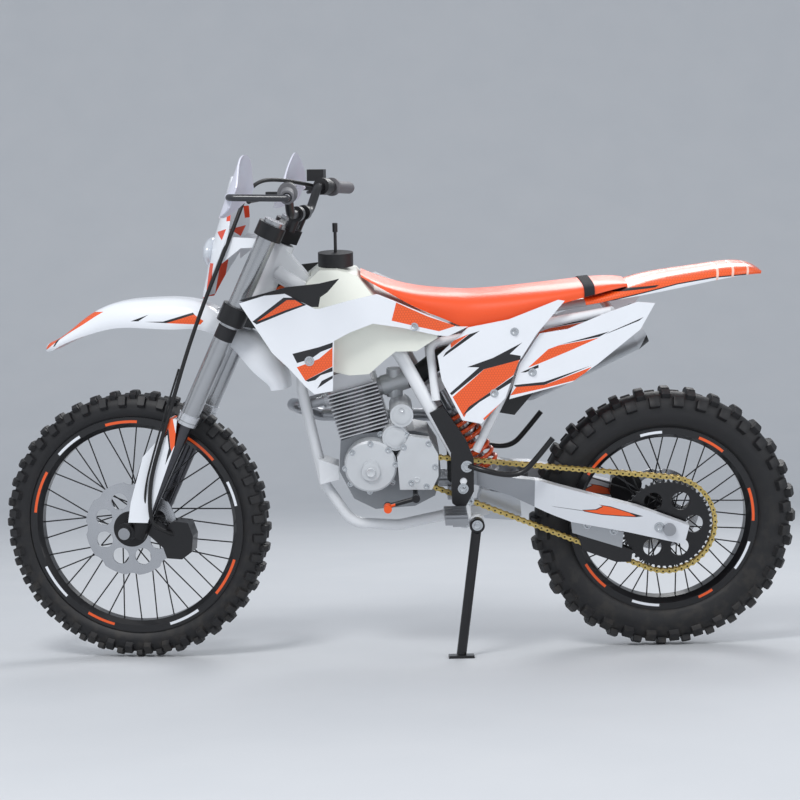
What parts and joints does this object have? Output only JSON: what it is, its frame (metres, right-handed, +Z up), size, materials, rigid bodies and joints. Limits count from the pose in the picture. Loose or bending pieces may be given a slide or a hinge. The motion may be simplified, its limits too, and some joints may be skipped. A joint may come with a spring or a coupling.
{
  "type": "enduro motorcycle",
  "caption": "Off-road motorcycle with an air-cooled single-cylinder engine, high fenders, spoked wheels with knobbly tyres, leaning on its side stand with the bars turned.",
  "frame": {"origin": "on the ground, under the middle of the bounding box", "axes": "+X from the front wheel to the rear, +Y to the rider's right, +Z up"},
  "size_m": [2.0394, 0.8628, 1.3078],
  "materials": {
    "black_metal": "satin black paint",
    "black_plastic": "matt",
    "bright_metal": "brushed",
    "clear_lens": "clear",
    "cream_plastic": "gloss",
    "gold_chain": "satin gold plating",
    "grip_rubber": "matt",
    "orange_paint": "gloss",
    "painted_frame": "gloss white paint",
    "seat_cover": "smooth vinyl",
    "silver_metal": "cast, matt",
    "steel": "plain steel",
    "tyre_rubber": "matt",
    "white_plastic": "gloss"
  },
  "bodies": {
    "frame": {"main_frame": "painted_frame", "subframe": "painted_frame", "frame_guards": "black_plastic", "crankcase": "silver_metal", "engine_covers": "silver_metal", "cylinder": "silver_metal", "starter_motor": "silver_metal", "carburettor": "silver_metal", "exhaust_pipe": "steel", "muffler": "black_metal", "airbox": "black_plastic", "fuel_tank": "cream_plastic", "tank_cap": "black_plastic", "seat": "seat_cover", "shrouds": "white_plastic", "shroud_vents": "black_plastic", "side_panels": "white_plastic", "tail_panels": "white_plastic", "rear_fender": "white_plastic", "shock_absorber": "steel", "shock_spring": "orange_paint", "swingarm": "bright_metal", "rear_axle": "steel", "linkage": "bright_metal", "chain": "gold_chain", "chain_guide": "black_plastic", "rear_caliper": "black_metal", "foot_pegs": "steel", "foot_controls": "steel"},
    "steering": {"fork_tubes": "silver_metal", "fork_sliders": "steel", "fork_clamps": "black_metal", "handlebar": "black_metal", "grips": "grip_rubber", "bar_controls": "black_plastic", "hand_guards": "white_plastic", "headlight_mask": "white_plastic", "headlight_lens": "clear_lens", "front_fender": "white_plastic", "fork_guards": "white_plastic", "front_caliper": "black_metal", "front_axle": "steel"},
    "front_wheel": {"front_tyre": "tyre_rubber", "front_rim": "black_metal", "front_hub": "black_metal", "front_spokes": "black_metal", "front_disc": "steel"},
    "rear_wheel": {"rear_tyre": "tyre_rubber", "rear_rim": "black_metal", "rear_hub": "black_metal", "rear_spokes": "black_metal", "rear_disc": "steel", "rear_sprocket": "black_metal"},
    "side_stand": {"side_stand": "steel"}
  },
  "joints": [
    {"name": "steering", "type": "hinge", "parent": "frame", "child": "steering", "pos_m": [-0.37374, 0.06354, 0.85445], "axis": [0.4226, -0.1884, 0.8865], "range_deg": [-31, 53]},
    {"name": "front_wheel_spin", "type": "hinge", "parent": "steering", "child": "front_wheel", "pos_m": [-0.67535, 0.18202, 0.3466], "axis": [0.1729, 0.9769, 0.1252], "continuous": true},
    {"name": "rear_wheel_spin", "type": "hinge", "parent": "frame", "child": "rear_wheel", "pos_m": [0.67475, 0.17317, 0.33869], "axis": [0, 0.9781, 0.2079], "continuous": true},
    {"name": "side_stand_swing", "type": "hinge", "parent": "frame", "child": "side_stand", "pos_m": [0.18775, 0.03891, 0.33545], "axis": [0, -0.9781, -0.2079], "range_deg": [0, 95]}
  ]
}
